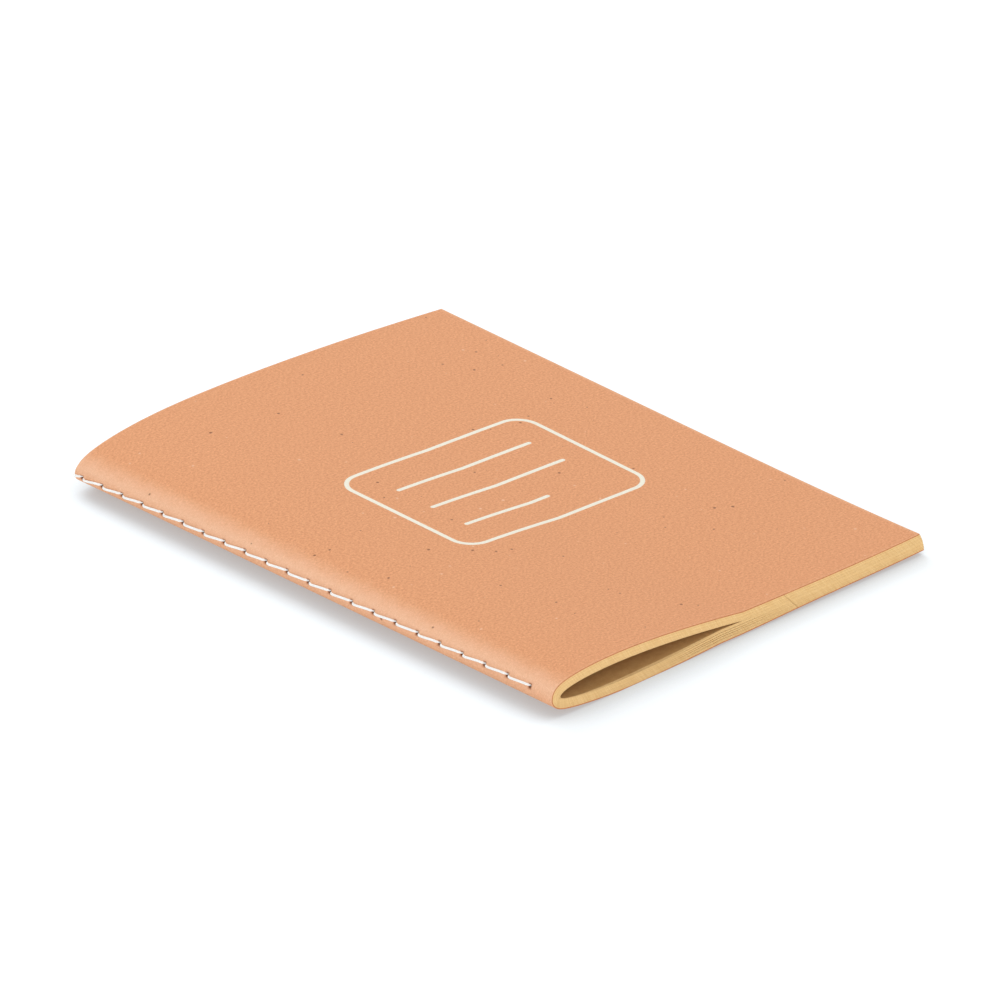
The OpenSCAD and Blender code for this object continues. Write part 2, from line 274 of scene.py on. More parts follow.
# %% [markdown]
# ## Rubbed edges
# Handling rubs paper and card first along their trimmed edges, where the fibres fluff up and
# look paler. The distance to the nearest edge can be had from the flat sheet's own
# measurements, so the rub follows the real outline in any pose; noise breaks up its width.
# The faces of different sheets lie 200 mm apart in the UV map, so that no two show the same
# specks; the Wrap step brings each height back to between -100 and 100 mm.

# %% Node group for rubbed edges
rubbing, given, made = new_group(
    "edge_rub",
    [("Place", "Vector", None), ("Half Height", "Float", 74.0), ("Reach", "Float", 102.0),
     ("Width", "Float", 0.8)],
    ["Rub"])
flat = add(rubbing, "ShaderNodeSeparateXYZ", {0: given["Place"]})
own_y = maths(rubbing, "WRAP", flat.outputs[1], 100.0, -100.0)
to_end = maths(rubbing, "SUBTRACT", given["Half Height"], maths(rubbing, "ABSOLUTE", own_y))
to_side = maths(rubbing, "SUBTRACT", given["Reach"], maths(rubbing, "ABSOLUTE", flat.outputs[0]))
nearest = maths(rubbing, "MINIMUM", to_end, to_side)
ragged = add(rubbing, "ShaderNodeTexNoise", {"Vector": given["Place"], "Scale": 0.9, "Detail": 4.0})
width = maths(rubbing, "MULTIPLY", given["Width"], maths(rubbing, "MULTIPLY_ADD", ragged.outputs["Fac"], 2.0, -0.2))
share = maths(rubbing, "DIVIDE", nearest, width)
rubbing.links.new(smooth(rubbing, share, 1.0, 0.0), made["Rub"])
print("edge_rub:", [s.name for s in rubbing.interface.items_tree])

# %% [markdown]
# ## Rounded box
# The cover carries a printed label: a rounded frame with three writing lines. Text objects
# or a bitmap would do, but a distance to a rounded box gives crisp frames of any size
# straight on the card, and it is used again for each line, which is a very thin box.

# %% Node group for a rounded box
box_group, given, made = new_group(
    "rounded_box",
    [("Place", "Vector", None), ("Centre", "Vector", (0, 0, 0)), ("Half Size", "Vector", (1, 1, 0)),
     ("Corner", "Float", 0.5)],
    ["Distance"])
shifted = add(box_group, "ShaderNodeVectorMath", {0: given["Place"], 1: given["Centre"]}, operation="SUBTRACT")
folded = add(box_group, "ShaderNodeVectorMath", {0: shifted.outputs[0]}, operation="ABSOLUTE")
beyond = add(box_group, "ShaderNodeVectorMath", {0: folded.outputs[0], 1: given["Half Size"]}, operation="SUBTRACT")
over = add(box_group, "ShaderNodeSeparateXYZ", {0: beyond.outputs[0]})
past_x = maths(box_group, "ADD", over.outputs[0], given["Corner"])
past_y = maths(box_group, "ADD", over.outputs[1], given["Corner"])
square = maths(box_group, "ADD",
               maths(box_group, "POWER", maths(box_group, "MAXIMUM", past_x, 0.0), 2.0),
               maths(box_group, "POWER", maths(box_group, "MAXIMUM", past_y, 0.0), 2.0))
inside = maths(box_group, "MINIMUM", maths(box_group, "MAXIMUM", past_x, past_y), 0.0)
total = maths(box_group, "ADD", maths(box_group, "SQRT", square), inside)
box_group.links.new(maths(box_group, "SUBTRACT", total, given["Corner"]), made["Distance"])
print("rounded_box:", [s.name for s in box_group.interface.items_tree])

# %% [markdown]
# ## A start for every material
# Each finish starts with the same pair: the Principled shader and the flat measurements of
# the sheet, which are kept in a UV map in millimetres. Object coordinates would slide when
# the cover bends open; the UV map travels with the paper.

# %% Start of a material
def finish_of(name, roughness, sheen=0.0, specular=0.3):
    material = bpy.data.materials.new(name)
    material.use_nodes = True
    tree = material.node_tree
    shader = tree.nodes["Principled BSDF"]
    shader.inputs["Roughness"].default_value = roughness
    shader.inputs["Specular IOR Level"].default_value = specular
    shader.inputs["Sheen Weight"].default_value = sheen
    flat_place = add(tree, "ShaderNodeUVMap", uv_map="flat_mm").outputs[0]
    return material, tree, shader, flat_place


def use(tree, group, **inputs):
    """Places a node group; Half_Height=74 fills the input named Half Height."""
    return add(tree, "ShaderNodeGroup", {k.replace("_", " "): v for k, v in inputs.items()},
               node_tree=group).outputs


def bumpy(tree, shader, height_socket, depth_mm):
    bump = add(tree, "ShaderNodeBump", {"Height": height_socket, "Strength": 1.0, "Distance": depth_mm * MM})
    tree.links.new(bump.outputs[0], shader.inputs["Normal"])


def painted_hole_shade(tree, tone, strength):
    """Darkens a tone in and round the needle holes: painted shade of the holes' depth."""
    mark = add(tree, "ShaderNodeAttribute", attribute_name="needle_mark").outputs["Fac"]
    return blend_colours(tree, maths(tree, "MULTIPLY", mark, strength), tone, srgb(136, 70, 42))


print("materials keep their patterns in the UV map flat_mm")

# %% [markdown]
# ## The cover card
# The cover is terracotta-coloured kraft card of about 220 g. Its colour is built from the
# bottom up: a base tone clouded by the pulp, darker fibres, specks, a paler band where the
# fold has stretched and been handled, painted shade in and round the dented needle holes,
# and rubbed edges.

# %% Cover card
card_mat, tree, shader, flat_place = finish_of("cover_card", 0.82, sheen=0.04, specular=0.22)
grain = use(tree, fibres, Place=flat_place, Cloud_Scale=1.9, Fibre_Scale=4.2, Speck_Scale=0.30, Speck_Size=0.14)
tone = blend_colours(tree, grain["Cloud"], srgb(218, 149, 104), srgb(250, 185, 138))
BAND_MIDDLE = 2.0   # mm from the fold towards the front
parts = add(tree, "ShaderNodeSeparateXYZ", {0: flat_place})
from_fold = maths(tree, "ABSOLUTE", maths(tree, "SUBTRACT", parts.outputs[0], BAND_MIDDLE))
patchy = add(tree, "ShaderNodeTexNoise", {"Vector": flat_place, "Scale": 0.35, "Detail": 5.0})
ragged = maths(tree, "MULTIPLY_ADD", patchy.outputs["Fac"], 2.4, maths(tree, "SUBTRACT", from_fold, 1.2))
worn = smooth(tree, ragged, 5.5, -1.4)
tone = blend_colours(tree, maths(tree, "MULTIPLY", worn, 0.85), tone, srgb(255, 211, 178))
tone = blend_colours(tree, maths(tree, "MULTIPLY", grain["Fibre"], 0.42), tone, srgb(202, 134, 90))
tone = blend_colours(tree, maths(tree, "MULTIPLY", grain["Pale Speck"], 0.55), tone, srgb(246, 208, 176))
tone = blend_colours(tree, maths(tree, "MULTIPLY", grain["Dark Speck"], 0.75), tone, srgb(112, 64, 42))
rub = use(tree, rubbing, Place=flat_place, Half_Height=74.0, Reach=105.6, Width=0.7)["Rub"]
tone = blend_colours(tree, maths(tree, "MULTIPLY", rub, 0.35), tone, srgb(240, 190, 150))
# Painted shade in and round the needle holes.
card_tone = painted_hole_shade(tree, tone, 0.8)
card_grain = grain
print("cover card tones set")

# %% [markdown]
# ## The printed label
# Screen ink lies on the card as a thin cream film. It fills the pulp's small hollows, so it
# is a little smoother than the card, but fibres still show through where it is thin. The
# label is a plain frame with three lines to write on, printed on the front cover only.

# %% Label print on the cover card
LABEL_CENTRE, LABEL_HALF, STROKE = (56.0, 2.5, 0.0), (26.0, 20.5, 0.0), 1.12   # mm
LINE_INSET = 19.0   # the writing lines start this far left of the label's middle
outline = maths(tree, "ABSOLUTE", use(tree, box_group, Place=flat_place, Centre=LABEL_CENTRE,
                                      Half_Size=LABEL_HALF, Corner=5.0)["Distance"])
ink_distance = maths(tree, "SUBTRACT", outline, STROKE / 2)
for line_y, line_half in ((12.0, 19.0), (1.5, 19.0), (-9.0, 12.0)):
    line_x = LABEL_CENTRE[0] - LINE_INSET + line_half
    bar = use(tree, box_group, Place=flat_place, Centre=(line_x, line_y, 0.0),
              Half_Size=(line_half, STROKE / 2, 0.0), Corner=STROKE / 2)["Distance"]
    ink_distance = maths(tree, "MINIMUM", ink_distance, bar)
ink_edge = maths(tree, "MULTIPLY_ADD", card_grain["Fibre"], 0.06, ink_distance)
ink = smooth(tree, ink_edge, 0.06, -0.06)
cover_ink = maths(tree, "MULTIPLY", ink, maths(tree, "MULTIPLY_ADD", card_grain["Fibre"], -0.08, 0.98))
cream = blend_colours(tree, card_grain["Cloud"], srgb(239, 238, 219), srgb(246, 246, 232))
tree.links.new(blend_colours(tree, cover_ink, card_tone, cream), shader.inputs["Base Color"])
tree.links.new(maths(tree, "MULTIPLY_ADD", cover_ink, -0.18, 0.84), shader.inputs["Roughness"])
pulp_height = maths(tree, "MULTIPLY", card_grain["Cloud"], 0.6)
surface_height = maths(tree, "MULTIPLY_ADD", card_grain["Fibre"], 0.5, pulp_height)
bumpy(tree, shader, maths(tree, "MULTIPLY_ADD", cover_ink, 0.5, surface_height), 0.035)
print("label of", 2 * LABEL_HALF[0], "x", 2 * LABEL_HALF[1], "mm with three lines")

# %% [markdown]
# ## Cut edges and pages
# The card's cut edge shows its core, redder than the face. The pages are lighter, yellower
# kraft. Their cut edges together make the striped block that the closed notebook shows, with
# one thin dark line where the knife paused; the page faces are calmer, with softer fibres, and
# take a darker tone than their cut edges, which is painted shade for the deep gap between the halves.

# %% Card edge, page and page edge
edge_mat, tree, shader, flat_place = finish_of("card_cut_edge", 0.9, specular=0.15)
cuts = use(tree, stripes, Place=flat_place, Stripe_Scale=3.0, Layer_Scale=6.0)
tone = blend_colours(tree, cuts["Stripe"], srgb(186, 116, 74), srgb(214, 144, 98))
tone = blend_colours(tree, maths(tree, "MULTIPLY", cuts["Layer"], 0.3), tone, srgb(186, 104, 64))
tree.links.new(painted_hole_shade(tree, tone, 0.95), shader.inputs["Base Color"])
bumpy(tree, shader, cuts["Stripe"], 0.03)

page_mat, tree, shader, flat_place = finish_of("page_paper", 0.88, sheen=0.03, specular=0.2)
grain = use(tree, fibres, Place=flat_place, Cloud_Scale=0.6, Fibre_Scale=2.2, Speck_Scale=0.15, Speck_Size=0.04)
# Painted shade: these page tones are set darker than the same paper's cut edges, for the gap's shade.
tone = blend_colours(tree, grain["Cloud"], srgb(201, 157, 98), srgb(213, 171, 112))
tone = blend_colours(tree, maths(tree, "MULTIPLY", grain["Fibre"], 0.22), tone, srgb(178, 131, 78))
tone = blend_colours(tree, maths(tree, "MULTIPLY", grain["Pale Speck"], 0.5), tone, srgb(248, 224, 186))
tone = blend_colours(tree, maths(tree, "MULTIPLY", grain["Dark Speck"], 0.7), tone, srgb(134, 92, 56))
rub = use(tree, rubbing, Place=flat_place, Half_Height=74.0, Reach=104.0, Width=0.6)["Rub"]
tone = blend_colours(tree, maths(tree, "MULTIPLY", rub, 0.35), tone, srgb(222, 182, 126))
tree.links.new(painted_hole_shade(tree, tone, 0.5), shader.inputs["Base Color"])
bumpy(tree, shader, maths(tree, "ADD", grain["Fibre"], grain["Cloud"]), 0.018)

leaf_mat, tree, shader, flat_place = finish_of("page_cut_edge", 0.9, specular=0.12)
cuts = use(tree, stripes, Place=flat_place, Stripe_Scale=1.7, Layer_Scale=9.0)
tone = blend_colours(tree, cuts["Stripe"], srgb(228, 186, 126), srgb(244, 208, 150))
tone = blend_colours(tree, maths(tree, "MULTIPLY", cuts["Layer"], 0.3), tone, srgb(218, 168, 104))
parts = add(tree, "ShaderNodeSeparateXYZ", {0: flat_place})
PAUSE_LEAN, PAUSE_FROM_FOLD, RIM_MIDDLE = 1.16, 92.7, 300.0   # in the rims' own UV measure
beside = maths(tree, "SUBTRACT", parts.outputs[0], RIM_MIDDLE)
beside = maths(tree, "MULTIPLY_ADD", parts.outputs[1], PAUSE_LEAN, beside)
off_line = maths(tree, "ABSOLUTE", maths(tree, "SUBTRACT", maths(tree, "ABSOLUTE", beside), PAUSE_FROM_FOLD))
knife = smooth(tree, off_line, 0.32, 0.05)
tone = blend_colours(tree, maths(tree, "MULTIPLY", knife, 0.5), tone, srgb(168, 118, 66))
tree.links.new(painted_hole_shade(tree, tone, 0.85), shader.inputs["Base Color"])
bumpy(tree, shader, cuts["Stripe"], 0.02)
print("paper and card edges set")

# %% [markdown]
# ## The thread
# The sewing thread is bleached and three-plied. Its plies are real geometry further down;
# the finish only adds what is smaller: fine filaments that follow the twist and a soft sheen.

# %% Thread
thread_mat, tree, shader, flat_place = finish_of("sewing_thread", 0.75, sheen=0.25, specular=0.25)
lie = add(tree, "ShaderNodeMapping", {"Vector": flat_place, "Scale": (9.0, 1.6, 1.0), "Rotation": (0, 0, 0.7)})
filament = add(tree, "ShaderNodeTexNoise", {"Vector": lie.outputs[0], "Scale": 2.2, "Detail": 3.0})
strand = smooth(tree, filament.outputs["Fac"], 0.32, 0.68)
tree.links.new(blend_colours(tree, strand, srgb(240, 238, 233), srgb(255, 255, 253)), shader.inputs["Base Color"])
tree.links.new(maths(tree, "MULTIPLY_ADD", strand, -0.12, 0.82), shader.inputs["Roughness"])
bumpy(tree, shader, strand, 0.02)
print("thread finish set")

# %% [markdown]
# ## The shape of the closed notebook
# Every layer follows the same curve, only further out or further in. A place on a sheet is
# given by w, whose square is its distance from the fold (positive on the front half), and
# by how far the layer lies out of the middle. The bow is fuller at the head than at the tail,
# the tail's fore-edge corner curls up a little, and the fold is pressed down at the head.

# %% Section of the closed notebook
REACH, PITCH, PAPER, CARD = 102.7, 0.0945, 0.087, 0.25   # mm
SHEETS = sum(name.startswith("front_leaf_") for name in frame["nodes"])
HALF_Y = round(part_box("back_cover")[1].y / MM, 3)
HALF_PILE = SHEETS * PITCH + CARD
LEAN = math.atan((AXIS_Z - HALF_PILE) / REACH)


def local_point(w, r, t):
    """A point beside the fold axis, in mm, at the tail (t 0) or at the head (t 1)."""
    side, a = np.where(w >= 0, 1.0, -1.0), np.abs(w)
    bow = np.where(w >= 0, 2.53 + (4.38 - 2.53) * t, 1.7)
    ends = np.where(w >= 0, 51.3 + (109.4 - 51.3) * t, 44.0)
    lift = np.where(w >= 0, 0.92 * t, 0.0)
    rate, share = bow / 0.3849 / np.sqrt(ends), np.minimum(a * a / ends, 1)
    h = rate * a * (1 - share) + lift * (a * a / REACH) ** 2
    d = np.where(a * a < ends, rate * (1 - 3 * share), 0) + lift * 4 * a ** 3 / REACH ** 2
    n = np.hypot(2 * a, d)
    return a * a - r * d / n, side * (h + r * 2 * a / n)


def looseness(w):
    u = w * w
    front = 0.11 * np.exp(-((u - 18) / 18) ** 2) * u / (u + 3)
    back = (0.25 * np.exp(-((u - 18) / 14) ** 2) + 0.56 * np.exp(-((u - 46) / 20) ** 2)) * u / (u + 3)
    return 1 + 0.12 * np.exp(-u / 4) + np.where(w >= 0, front, back)


def beside_axis(w, r, y):
    """The same point at any y: the head and tail outlines are joined by straight lines."""
    t = y / (2 * HALF_Y) + 0.5
    (x0, v0), (x1, v1) = local_point(w, r, 0.0), local_point(w, r, 1.0)
    return x0 * (1 - t) + x1 * t, v0 * (1 - t) + v1 * t


def placed(w, r, y):
    x, v = beside_axis(w, r, y)
    z = np.maximum(AXIS_Z - x * math.sin(LEAN) + v * math.cos(LEAN), 0)
    t = np.clip(y / (2 * HALF_Y) + 0.5, 0, 1)
    z = z + 0.97 * (w * w / REACH) ** 6 * np.maximum(0, 1 - 2 * t) ** 3
    pressed = np.where(w >= 0, np.exp(-w * w / 14) * (1 - 0.45 * np.exp(-(w / 0.3) ** 2)),
                       0.55 * np.exp(-(w / 0.35) ** 2))
    z = np.maximum(z - 0.9 * t ** 6 * pressed, 0)
    return np.stack([AXIS_X + x * math.cos(LEAN) + v * math.sin(LEAN), y + 0 * x, z], -1)


print("pile is", round(2 * HALF_PILE, 2), "mm thick, leaning", round(math.degrees(LEAN), 2), "degrees")

# %% [markdown]
# ## Where each layer lies and where it ends
# Sheet 1 is the outermost and sheet 20 the innermost; number 0 is the cover. After sewing,
# the pile is folded and trimmed, so the outer layers, which go the long way round, end
# a little further back on the front half. That slant is the creep of the fore-edge. The two
# innermost back leaves sag into the gap, and a little air shows between a few of the others.

# %% Faces and trims of the layers
def faces_of(number, w):
    """How far out of the middle a layer's inner and outer faces lie."""
    if number == 0:
        inner = SHEETS * PITCH * looseness(w)
        return inner, inner + CARD
    near_gap = np.where(w < 0, np.exp(-((w * w - 24) / 15) ** 2), 0)
    near_cusp = np.where(w < 0, np.exp(-((w * w - 42) / 14) ** 2), 0)
    inner = ((SHEETS - number) * PITCH + (PITCH - PAPER) / 2) * looseness(w) - 0.13 * max(number - 18, 0) * near_gap
    thick = PAPER * (1 + 0.8 * (looseness(w) - 1))
    return inner, inner + thick * (1 - 0.75 * near_cusp * (number in (5, 9, 12, 16)))


def trim_of(number, side):
    middle = SHEETS * PITCH + CARD / 2 if number == 0 else (SHEETS - number + 0.5) * PITCH
    return REACH - 1.32 * ((HALF_PILE + side * middle) / (2 * HALF_PILE)) ** 2


print("cover ends at", round(trim_of(0, 1), 2), "mm in front and", round(trim_of(0, -1), 2), "mm behind")

# %% [markdown]
# ## The sewing line
# The machine made 22 holes. The stitches grow very slightly towards the tail, and the line
# wanders a few tenths of a millimetre round the fold, as a hand-fed pile does.

# %% Needle holes
HOLES = 22
hole_y = [HALF_Y - 2.15 - 6.3 * k - 0.032 * k * (k - 1) / 2 for k in range(HOLES)]
wander = random.Random(5)
hole_w = [0.02 + (0.154 - 0.02) * k / (HOLES - 1) - 0.05 * math.exp(-k / 2) + wander.uniform(-0.012, 0.012)
          for k in range(HOLES)]


def sewing_w(y):
    """Place round the fold of the sewing line at any y."""
    return np.interp(-np.asarray(y, float), [-v for v in hole_y], hole_w)


print("first hole", round(hole_y[0], 2), "last hole", round(hole_y[-1], 2), "mm")

# %% [markdown]
# ## How a bent layer follows the joint
# When the cover opens, its front panel turns and its back stays. The fold must bend
# evenly between them, and the strip with the needle holes must turn half-way with the thread.
# So each point gets a share by its angle round the fold axis: 1 turns with the front,
# 0 stays with the back. The same share goes to every layer, which keeps them in order.

# %% Shares of the opening
def opening_share(w, y):
    """0 stays with the back half, 1 turns with the front half, 0.5 turns with the sewn strip."""
    x, v = beside_axis(w, faces_of(0, w)[1], y)
    angle = np.degrees(np.arctan2(v, x)) % 360
    angle = np.where((w >= 0) & (angle > 300), 0, angle)
    s = sewing_w(y)
    sx, sv = beside_axis(s, faces_of(0, s)[1], y)
    sewn = np.degrees(np.arctan2(sv, sx)) % 360
    upper = np.clip((angle - 30) / (sewn - 16 - 30), 0, 1)
    lower = np.clip((angle - sewn - 16) / (330 - sewn - 16), 0, 1)
    soften = lambda q: 0.85 * q + 0.15 * q * q * (3 - 2 * q)
    return 1 - 0.5 * soften(upper) - 0.5 * soften(lower)


check = opening_share(np.array([9.0, 0.09, -9.0]), np.zeros(3))
print("share at front, sewing line and back:", [round(float(v), 3) for v in check])

# %% [markdown]
# ## Building one layer
# A layer is a grid of points on its outer face and the same grid on its inner face, joined
# by the cut edges. A Solidify modifier on a single skin would be quicker, but the bow
# is looser in places, so both faces are worked out. Round every needle hole the grid turns
# into rings, and beyond the fold the rows thin out, because the panels are nearly straight.

# %% Rows and columns of a layer
OUTER_FACE, INNER_FACE, END_RIM, SIDE_RIM, HOLE_WALL = range(5)
FOLD_EDGE_W = 1.75   # the fold's fine grid ends here on both sides, 3 mm out
PANEL_U = [3.6, 4.4, 5.4, 6.8, 8.6, 10.8, 13.4, 16.5, 20, 24, 28.5, 33.5, 39, 45, 51, 58, 66, 74, 82, 90, 96]


def rows_of(steps, patch, between):
    """Heights of the rows, whether the panels use them, and the first row at each hole."""
    rows, starts = [(HALF_Y, True)], []
    for k in range(HOLES):
        above, top = rows[-1][0], hole_y[k] + patch
        rows += [(above + (top - above) * j / (between + 1), False) for j in range(1, between + 1)]
        starts.append(len(rows))
        rows += [(top - 2 * patch * j / steps, j == steps // 2) for j in range(steps + 1)]
    rows += [(y, True) for y in (-69.2, -70.6, -72.2, -HALF_Y)]
    return rows, starts


def fold_columns(steps, patch, wide, count):
    """Columns of the fold as (distance from the sewing line, share of the way to the panel)."""
    middle = [(patch - 2 * patch * j / steps, 0.0) for j in range(steps + 1)]
    spread = [(j / count) ** wide for j in range(count, 0, -1)]
    return [(patch, s) for s in spread] + middle + [(-patch, s) for s in reversed(spread)]


rows, starts = rows_of(4, 0.9, 3)
print(len(rows), "rows on the cover,", len(fold_columns(4, 0.9, 1.6, 12)), "columns round its fold")

# %% [markdown]
# ## Distances along a bent layer
# The number w says where a point lies round the fold, but paper is cut and punched by true
# distance. The curve has no simple length formula, so it is measured once in 4120 short
# steps, and looking up that table turns w into millimetres or millimetres into w.

# %% Distances along a layer
def arc_table(number):
    """Places w along a layer and their distances from the fold, in mm."""
    w = np.linspace(-10.3, 10.3, 4121)
    line = placed(w, sum(faces_of(number, w)) / 2, np.zeros_like(w))
    s = np.concatenate([[0], np.cumsum(np.linalg.norm(np.diff(line, axis=0), axis=1))])
    return w, s - np.interp(0.0, w, s)


front_reach = np.interp(math.sqrt(trim_of(1, 1)), *arc_table(1))
print("sheet 1 reaches", round(float(front_reach), 1), "mm from its fold in front")

# %% [markdown]
# ## The skin and its holes
# The skin is mostly plain quads. Where the coarse rows of a panel meet the fine rows of the
# fold, one long face takes up the extra points. A Boolean could punch the needle holes, but
# it leaves ragged triangles in thin paper, so the grid itself closes in on each hole in rings.

# %% Faces of the skin
def skin_faces(front, fold, back, main, at_hole):
    """Faces over the front panel, the back panel and the fold, except where the holes are."""
    skin = []
    for panel in (front, back):
        for a, b in zip(panel, panel[1:]):
            skin += [(a[j], a[k], b[k], b[j]) for j, k in zip(main, main[1:])]
    for j, k in zip(main, main[1:]):
        skin.append([front[-1][j], front[-1][k]] + [fold[0][m] for m in range(k, j - 1, -1)])
        skin.append([fold[-1][m] for m in range(j, k + 1)] + [back[0][k], back[0][j]])
    for c in range(len(fold) - 1):
        for j in range(main[-1]):
            if not at_hole(c, j):
                skin.append([fold[c][j], fold[c][j + 1], fold[c + 1][j + 1], fold[c + 1][j]])
    return skin


# %% Rings round a needle hole
def patch_walk(first, last, s, steps):
    """The grid points round a hole's patch, as (column, row), in order."""
    there = [(first + i, s) for i in range(steps)] + [(last, s + i) for i in range(steps)]
    return there + [(last - i, s + steps) for i in range(steps)] + [(first, s + steps - i) for i in range(steps)]


def ring_offset(across, along, hole_size, ring):
    """Moves a patch point (ring 1) towards the hole's rim (ring 0)."""
    far = math.hypot(across, along)
    rim = (across / far * hole_size[0], along / far * hole_size[1])
    return rim[0] + (across - rim[0]) * ring, rim[1] + (along - rim[1]) * ring


print("a ring is", len(patch_walk(0, 4, 0, 4)), "points on the cover and", len(patch_walk(0, 2, 0, 2)), "on a sheet")

# %% Grid of a layer
def layer_grid(number, steps, patch, between, count, hole_size, rings, seed):
    """The points of a layer as w, y and needle mark, its faces, and the loops of its edges."""
    rng = random.Random(seed)
    rows, starts = rows_of(steps, patch, between)
    columns = fold_columns(steps, patch, 1.6, count)
    reach_w = [math.sqrt(trim_of(number, side) + rng.uniform(-0.03, 0.03)) for side in (1, -1)]
    ends_y = [HALF_Y + rng.uniform(-0.03, 0.02) for _ in range(2)]
    table_w, table_s = arc_table(number)
    panel_w = [math.sqrt(u) for u in PANEL_U if u < reach_w[0] ** 2 - 2]
    W, Y, MARK = [], [], []

    def point(w, y, mark=0.0):
        W.append(w), Y.append(y), MARK.append(mark)
        return len(W) - 1

    def row_y(j):
        return ends_y[0] if j == 0 else -ends_y[1] if j == len(rows) - 1 else rows[j][0]

    def to_distance(w):
        return float(np.interp(w, table_w, table_s))

    def to_place(s):
        return float(np.interp(s, table_s, table_w))

    sew_s = [to_distance(sewing_w(row[0])) for row in rows]
    edge_s = [to_distance(side * FOLD_EDGE_W) for side in (1, -1)]
    mid = len(columns) // 2
    first, last = mid - steps // 2, mid + steps // 2
    hidden = {(c, j) for c in range(first + 1, last) for s in starts for j in range(s + 1, s + steps)}
    main = [j for j, row in enumerate(rows) if row[1]]
    front = [{j: point(w, row_y(j)) for j in main} for w in [reach_w[0]] + panel_w[::-1]]
    fold = []
    for c, (offset, share) in enumerate(columns):
        column = {}
        for j in range(len(rows)):
            if (c, j) not in hidden:
                near_s, far_s = sew_s[j] + offset, edge_s[0] if c < mid else edge_s[1]
                column[j] = point(to_place(near_s + share * (far_s - near_s)), row_y(j))
        fold.append(column)
    back = [{j: point(-w, row_y(j)) for j in main} for w in panel_w + [reach_w[1]]]

    skin = skin_faces(front, fold, back, main,
                      lambda c, j: first <= c < last and any(s <= j < s + steps for s in starts))
    mouths = []
    for k, s in enumerate(starts):
        walk = patch_walk(first, last, s, steps)
        outer_ring, centre_s = [fold[c][j] for c, j in walk], to_distance(hole_w[k])
        for ring in rings:
            inner_ring = []
            for c, j in walk:
                across, along = ring_offset(columns[c][0], rows[j][0] - hole_y[k], hole_size, ring)
                w = to_place(centre_s + across + (sew_s[j] - centre_s) * ring)
                inner_ring.append(point(w, hole_y[k] + along, (1 - ring) ** 2))
            for i in range(len(walk)):
                n = (i + 1) % len(walk)
                skin.append((outer_ring[i], inner_ring[i], inner_ring[n], outer_ring[n]))
            outer_ring = inner_ring
        mouths.append(outer_ring)
    whole = front + fold + back
    edges = [([column[0] for column in whole], END_RIM), ([column[len(rows) - 1] for column in whole], END_RIM),
             ([front[0][j] for j in main], SIDE_RIM), ([back[-1][j] for j in main], SIDE_RIM)]
    edges += [(mouth + mouth[:1], HOLE_WALL) for mouth in mouths]
    W = np.array(W)
    return W, np.array(Y), np.array(MARK), np.interp(W, table_w, table_s), skin, edges


# %% [markdown]
# ## Closing a layer
# The same faces, turned over, make the inner side. Walls along the four trimmed edges and
# inside each hole join the two sides, so every sheet is a closed solid with real thickness.

# %% Both faces and the cut edges
def shell(number, W, Y, MARK, skin, edges, dent):
    """Points and faces of the closed layer, and the kind of each face."""
    inner, outer = faces_of(number, W)
    points = np.concatenate([placed(W, outer - dent * MARK, Y), placed(W, inner - dent * 0.1 * MARK, Y)]) * MM
    N = len(W)
    faces = [list(f) for f in skin] + [[i + N for i in reversed(f)] for f in skin]
    kinds = [OUTER_FACE] * len(skin) + [INNER_FACE] * len(skin)
    for loop, kind in edges:
        for a, b in zip(loop, loop[1:]):
            faces.append([a, b, b + N, a + N])
            kinds.append(kind)
    return points, faces, np.array(kinds)


print("layer builder ready")

# %% [markdown]
# ## From grid to object
# The grid becomes a mesh with its flat measurements as a UV map, its paper and cut-edge
# finishes by face, smooth shading with crisp cut edges, and the opening share of each point.
# Each kind of face has its own region of the UV map, so that no pattern is seen twice. The
# rim of a needle hole turns exactly half-way, with the thread that fills it.

# %% Flat measurements of each corner
def flat_measures(number, W, Y, arc, kind, i, is_outer):
    """The UV map, in mm, for mesh corners that lie at points i and belong to faces of a kind."""
    inner, outer = faces_of(number, W)
    depth = np.where(is_outer, outer[i], inner[i])
    side = np.where(W[i] >= 0, 1.0, -1.0)
    end_u = side * W[i] ** 2 + 3.5 * W[i] + RIM_MIDDLE
    u = np.select([kind == END_RIM, kind == SIDE_RIM], [end_u, Y[i] + 2 * RIM_MIDDLE], arc[i])
    outer_v = Y[i] + 800 + 200 * (number % 7) if number else Y[i]
    v = np.select([kind == OUTER_FACE, kind == INNER_FACE, kind == SIDE_RIM],
                  [outer_v, Y[i] + 400, side * depth], depth)
    return np.stack([u, v], -1)


